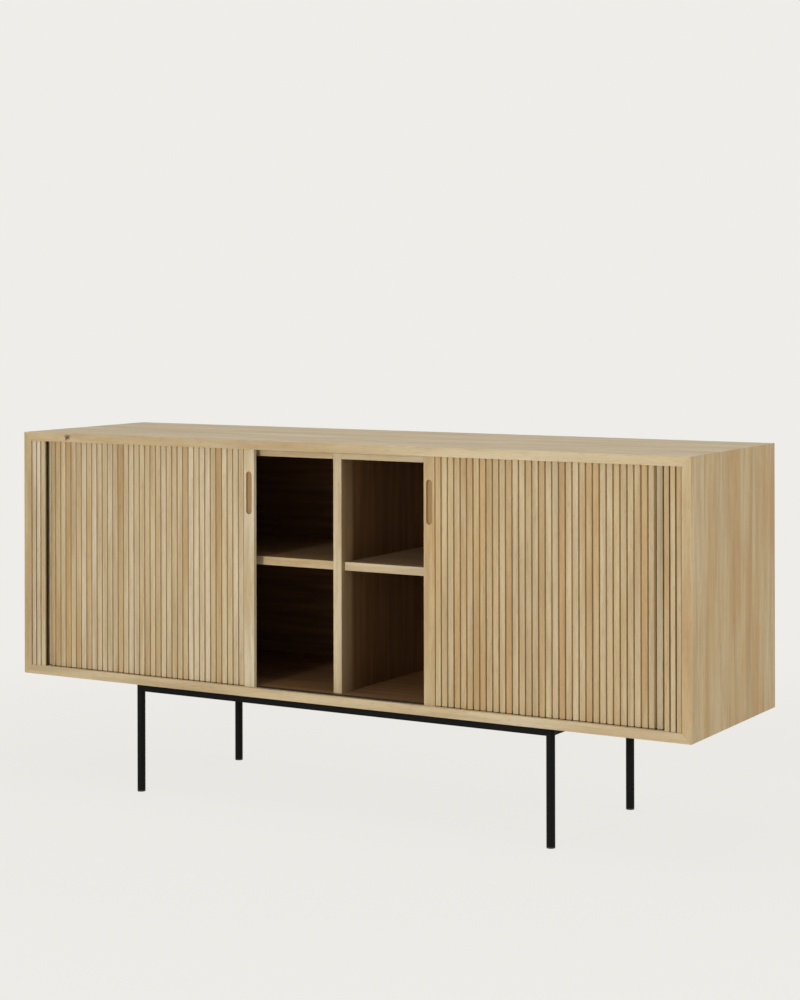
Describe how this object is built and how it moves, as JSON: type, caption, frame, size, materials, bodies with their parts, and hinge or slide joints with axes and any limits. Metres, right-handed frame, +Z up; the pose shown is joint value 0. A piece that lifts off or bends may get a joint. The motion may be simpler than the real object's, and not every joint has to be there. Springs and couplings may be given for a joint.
{
  "type": "tambour door cabinet",
  "caption": "Long low oak sideboard with sliding tambour doors that roll round behind its ends, a shelved interior and a slim black steel leg frame.",
  "frame": {"origin": "on the floor, under the middle of the case", "axes": "+X to the right along the length, +Y from the front to the back (the doors face -Y), +Z up"},
  "size_m": [1.65, 0.45, 0.7965],
  "materials": {
    "oak_case": "matt oiled oak veneer",
    "oak_slat": "matt oiled solid oak",
    "oak_inner": "matt oak veneer",
    "oak_back": "matt oak veneer",
    "strip_backing": "dark stained wood",
    "canvas": "woven cotton canvas",
    "black_steel": "matt black powder coat",
    "zinc_steel": "zinc plated",
    "glide": "moulded black"
  },
  "bodies": {
    "case": {"top_panel": "oak_case", "bottom_panel": "oak_case", "left_side_panel": "oak_case", "right_side_panel": "oak_case", "back_panel": "oak_back", "left_ceiling": "oak_inner", "right_ceiling": "oak_inner", "centre_divider": "oak_inner", "left_partition": "oak_inner", "right_partition": "oak_inner", "left_shelf": "oak_inner", "right_shelf": "oak_inner", "shelf_pins": "zinc_steel", "left_fixed_slats": "oak_slat", "right_fixed_slats": "oak_slat", "left_strip_backing": "strip_backing", "right_strip_backing": "strip_backing", "front_rail": "black_steel", "rear_rail": "black_steel", "left_end_rail": "black_steel", "right_end_rail": "black_steel", "front_left_leg": "black_steel", "front_right_leg": "black_steel", "rear_left_leg": "black_steel", "rear_right_leg": "black_steel", "foot_glides": "glide", "frame_tabs": "black_steel", "frame_screws": "zinc_steel"},
    "left_door": {"left_lead_stile": "oak_slat", "left_front_slats": "oak_slat", "left_canvas": "canvas"},
    "left_tail_1": {"left_tail_slats_1": "oak_slat"},
    "left_tail_2": {"left_tail_slats_2": "oak_slat"},
    "left_tail_3": {"left_tail_slats_3": "oak_slat"},
    "left_tail_4": {"left_tail_slats_4": "oak_slat"},
    "left_tail_5": {"left_tail_slats_5": "oak_slat"},
    "left_tail_6": {"left_tail_slats_6": "oak_slat"},
    "right_door": {"right_lead_stile": "oak_slat", "right_front_slats": "oak_slat", "right_canvas": "canvas"},
    "right_tail_1": {"right_tail_slats_1": "oak_slat"},
    "right_tail_2": {"right_tail_slats_2": "oak_slat"},
    "right_tail_3": {"right_tail_slats_3": "oak_slat"},
    "right_tail_4": {"right_tail_slats_4": "oak_slat"},
    "right_tail_5": {"right_tail_slats_5": "oak_slat"},
    "right_tail_6": {"right_tail_slats_6": "oak_slat"}
  },
  "joints": [
    {"name": "left_door_slide", "type": "slide", "parent": "case", "child": "left_door", "axis": [1, 0, 0], "range_m": [0, 0.1959]},
    {"name": "left_tail_1_hinge", "type": "hinge", "parent": "left_door", "child": "left_tail_1", "pos_m": [-0.7439, -0.204, 0.5195], "axis": [0, 0, 1], "range_deg": [0, 17.34]},
    {"name": "left_tail_2_hinge", "type": "hinge", "parent": "left_tail_1", "child": "left_tail_2", "pos_m": [-0.77235, -0.19512, 0.5195], "axis": [0, 0, 1], "range_deg": [0, 34.68]},
    {"name": "left_tail_3_hinge", "type": "hinge", "parent": "left_tail_2", "child": "left_tail_3", "pos_m": [-0.79069, -0.17163, 0.5195], "axis": [0, 0, 1], "range_deg": [0, 34.68]},
    {"name": "left_tail_4_hinge", "type": "hinge", "parent": "left_tail_3", "child": "left_tail_4", "pos_m": [-0.79241, -0.14188, 0.5195], "axis": [0, 0, 1], "range_deg": [0, 34.68]},
    {"name": "left_tail_5_hinge", "type": "hinge", "parent": "left_tail_4", "child": "left_tail_5", "pos_m": [-0.7769, -0.11644, 0.5195], "axis": [0, 0, 1], "range_deg": [0, 34.68]},
    {"name": "left_tail_6_hinge", "type": "hinge", "parent": "left_tail_5", "child": "left_tail_6", "pos_m": [-0.74967, -0.10433, 0.5195], "axis": [0, 0, 1], "range_deg": [0, 17.34]},
    {"name": "right_door_slide", "type": "slide", "parent": "case", "child": "right_door", "axis": [-1, 0, 0], "range_m": [0, 0.2257]},
    {"name": "right_tail_1_hinge", "type": "hinge", "parent": "right_door", "child": "right_tail_1", "pos_m": [0.7439, -0.204, 0.5195], "axis": [0, 0, 1], "range_deg": [-17.34, 0]},
    {"name": "right_tail_2_hinge", "type": "hinge", "parent": "right_tail_1", "child": "right_tail_2", "pos_m": [0.77235, -0.19512, 0.5195], "axis": [0, 0, 1], "range_deg": [-34.68, 0]},
    {"name": "right_tail_3_hinge", "type": "hinge", "parent": "right_tail_2", "child": "right_tail_3", "pos_m": [0.79069, -0.17163, 0.5195], "axis": [0, 0, 1], "range_deg": [-34.68, 0]},
    {"name": "right_tail_4_hinge", "type": "hinge", "parent": "right_tail_3", "child": "right_tail_4", "pos_m": [0.79241, -0.14188, 0.5195], "axis": [0, 0, 1], "range_deg": [-34.68, 0]},
    {"name": "right_tail_5_hinge", "type": "hinge", "parent": "right_tail_4", "child": "right_tail_5", "pos_m": [0.7769, -0.11644, 0.5195], "axis": [0, 0, 1], "range_deg": [-34.68, 0]},
    {"name": "right_tail_6_hinge", "type": "hinge", "parent": "right_tail_5", "child": "right_tail_6", "pos_m": [0.74967, -0.10433, 0.5195], "axis": [0, 0, 1], "range_deg": [-17.34, 0]}
  ],
  "couplings": [
    {"joint": "left_tail_1_hinge", "follows": "left_door_slide", "rad_per_m": 1.5446},
    {"joint": "left_tail_2_hinge", "follows": "left_door_slide", "rad_per_m": 3.0893},
    {"joint": "left_tail_3_hinge", "follows": "left_door_slide", "rad_per_m": 3.0893},
    {"joint": "left_tail_4_hinge", "follows": "left_door_slide", "rad_per_m": 3.0893},
    {"joint": "left_tail_5_hinge", "follows": "left_door_slide", "rad_per_m": 3.0893},
    {"joint": "left_tail_6_hinge", "follows": "left_door_slide", "rad_per_m": 1.5446},
    {"joint": "right_tail_1_hinge", "follows": "right_door_slide", "rad_per_m": -1.3407},
    {"joint": "right_tail_2_hinge", "follows": "right_door_slide", "rad_per_m": -2.6814},
    {"joint": "right_tail_3_hinge", "follows": "right_door_slide", "rad_per_m": -2.6814},
    {"joint": "right_tail_4_hinge", "follows": "right_door_slide", "rad_per_m": -2.6814},
    {"joint": "right_tail_5_hinge", "follows": "right_door_slide", "rad_per_m": -2.6814},
    {"joint": "right_tail_6_hinge", "follows": "right_door_slide", "rad_per_m": -1.3407}
  ]
}
